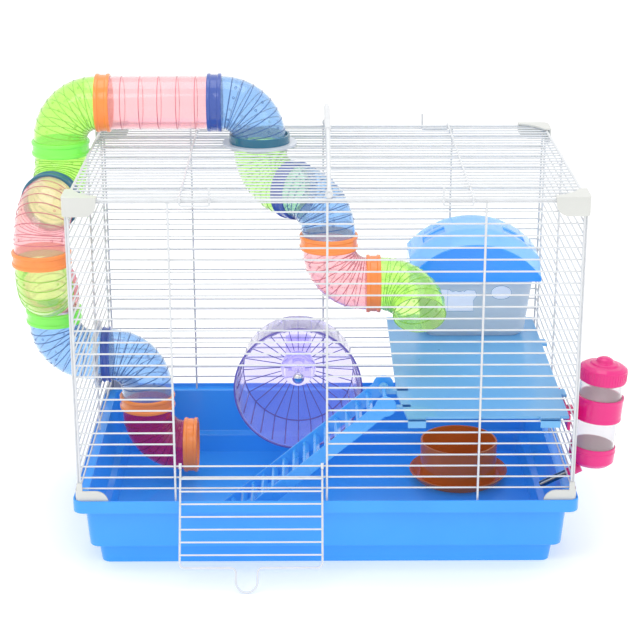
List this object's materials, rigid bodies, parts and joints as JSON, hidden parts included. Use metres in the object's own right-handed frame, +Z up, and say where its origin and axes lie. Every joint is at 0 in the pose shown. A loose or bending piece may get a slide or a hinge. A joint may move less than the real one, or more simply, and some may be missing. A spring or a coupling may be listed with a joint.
{
  "type": "hamster cage",
  "caption": "Wire hamster cage on a blue tray, with climbing tubes, exercise wheel, platform house, ramp, food bowl, drinking bottle, hinged door and carry handle.",
  "frame": {"origin": "centre of the tray's flat underside, on the table", "axes": "+X to the right seen from the door side, +Y towards the back panel, +Z up"},
  "size_m": [0.7366, 0.4401, 0.542],
  "materials": {
    "blue_tray": "gloss",
    "white_wire": "satin",
    "white_plastic": "satin",
    "green_tube": "translucent",
    "pink_tube": "translucent",
    "blue_tube": "translucent",
    "magenta_tube": "translucent",
    "navy_ring": "gloss",
    "orange_ring": "gloss",
    "teal_ring": "gloss",
    "green_ring": "gloss",
    "pink_ring": "gloss",
    "lilac_wheel": "gloss",
    "grey_plate": "gloss",
    "silver": "polished",
    "blue_ramp": "gloss",
    "blue_deck": "gloss",
    "frosted_house": "frosted",
    "blue_roof": "gloss",
    "brown_bowl": "gloss",
    "clear_bottle": "clear",
    "pink_bottle": "gloss",
    "steel": "brushed"
  },
  "bodies": {
    "tray_base": {"tray": "blue_tray"},
    "cage": {"back_panel": "white_wire", "bottle_base": "pink_bottle", "bottle_body": "clear_bottle", "bottle_holder": "pink_bottle", "bottle_spout": "steel", "bottom_corner_caps": "white_plastic", "elbow_inner_blue": "blue_tube", "elbow_inside_blue": "blue_tube", "elbow_inside_green": "green_tube", "elbow_inside_pink": "pink_tube", "elbow_roof_blue": "blue_tube", "elbow_side_blue": "blue_tube", "elbow_side_green_lower": "green_tube", "elbow_side_green_upper": "green_tube", "elbow_side_pink_lower": "pink_tube", "elbow_side_pink_upper": "pink_tube", "elbow_top_green": "green_tube", "front_panel": "white_wire", "holder_plate": "pink_bottle", "left_panel": "white_wire", "platform": "blue_deck", "port_plate_roof": "grey_plate", "port_plate_side": "grey_plate", "right_panel": "white_wire", "ring_end_orange": "orange_ring", "ring_inner_navy": "navy_ring", "ring_inner_orange": "orange_ring", "ring_inside_navy": "navy_ring", "ring_inside_orange": "orange_ring", "ring_roof_teal": "teal_ring", "ring_side_green": "green_ring", "ring_side_lime": "green_ring", "ring_side_orange": "orange_ring", "ring_side_pink": "pink_ring", "ring_side_teal": "teal_ring", "ring_top_navy": "navy_ring", "ring_top_orange": "orange_ring", "roof_eyes": "white_wire", "top_corner_caps": "white_plastic", "top_panel": "white_wire", "tube_top_pink": "pink_tube", "wheel_axle": "silver", "wheel_bracket": "lilac_wheel"},
    "door": {"front_door": "white_wire"},
    "handle": {"carry_handle": "white_wire"},
    "clip_left": {"top_clip_left": "white_wire"},
    "clip_right": {"top_clip_right": "white_wire"},
    "wheel": {"wheel_drum": "lilac_wheel"},
    "ramp": {"ramp": "blue_ramp"},
    "bowl": {"food_bowl": "brown_bowl"},
    "house": {"house_body": "frosted_house"},
    "roof": {"house_roof": "blue_roof"},
    "bottle_cap": {"bottle_lid": "pink_bottle"},
    "ball": {"spout_ball": "steel"},
    "end_elbow": {"elbow_end_green": "green_tube"},
    "outlet_elbow": {"elbow_outlet_magenta": "magenta_tube", "ring_outlet_orange": "orange_ring"}
  },
  "joints": [
    {"name": "cage_lift", "type": "slide", "parent": "tray_base", "child": "cage", "axis": [0, 0, 1], "range_m": [0, 0.25]},
    {"name": "bowl_lift", "type": "slide", "parent": "tray_base", "child": "bowl", "axis": [0, 0, 1], "range_m": [0, 0.06]},
    {"name": "door_hinge", "type": "hinge", "parent": "cage", "child": "door", "pos_m": [-0.087, -0.183, 0.1323], "axis": [-1, 0, 0], "range_deg": [0, 153]},
    {"name": "handle_hinge", "type": "hinge", "parent": "cage", "child": "handle", "pos_m": [0.003, 0, 0.458], "axis": [0, 1, 0], "range_deg": [-35, 85]},
    {"name": "clip_left_turn", "type": "hinge", "parent": "cage", "child": "clip_left", "pos_m": [-0.162, 0, 0.4552], "axis": [0, -1, 0], "range_deg": [0, 90]},
    {"name": "clip_right_turn", "type": "hinge", "parent": "cage", "child": "clip_right", "pos_m": [0.162, 0, 0.4552], "axis": [0, 1, 0], "range_deg": [0, 90]},
    {"name": "wheel_spin", "type": "hinge", "parent": "cage", "child": "wheel", "pos_m": [-0.0337, 0.15, 0.128], "axis": [0, 1, 0], "continuous": true},
    {"name": "ramp_tilt", "type": "hinge", "parent": "cage", "child": "ramp", "pos_m": [0.07, -0.124, 0.194], "axis": [0, 1, 0], "range_deg": [0, 45]},
    {"name": "end_elbow_swivel", "type": "hinge", "parent": "cage", "child": "end_elbow", "pos_m": [0.069, 0.00618, 0.294], "axis": [1, 0, 0], "range_deg": [-60, 60]},
    {"name": "outlet_elbow_swivel", "type": "hinge", "parent": "cage", "child": "outlet_elbow", "pos_m": [-0.2303, 0.07678, 0.112], "axis": [0, 0, 1], "range_deg": [-35, 35]},
    {"name": "house_lift", "type": "slide", "parent": "cage", "child": "house", "axis": [0, 0, 1], "range_m": [0, 0.04]},
    {"name": "roof_lift", "type": "slide", "parent": "house", "child": "roof", "axis": [0, 0, 1], "range_m": [0, 0.05]},
    {"name": "bottle_cap_pull", "type": "slide", "parent": "cage", "child": "bottle_cap", "axis": [0.0854, 0, 0.9963], "range_m": [0, 0.02]},
    {"name": "spout_ball_push", "type": "slide", "parent": "cage", "child": "ball", "axis": [0.891, 0, 0.454], "range_m": [0, 0.0015]}
  ]
}
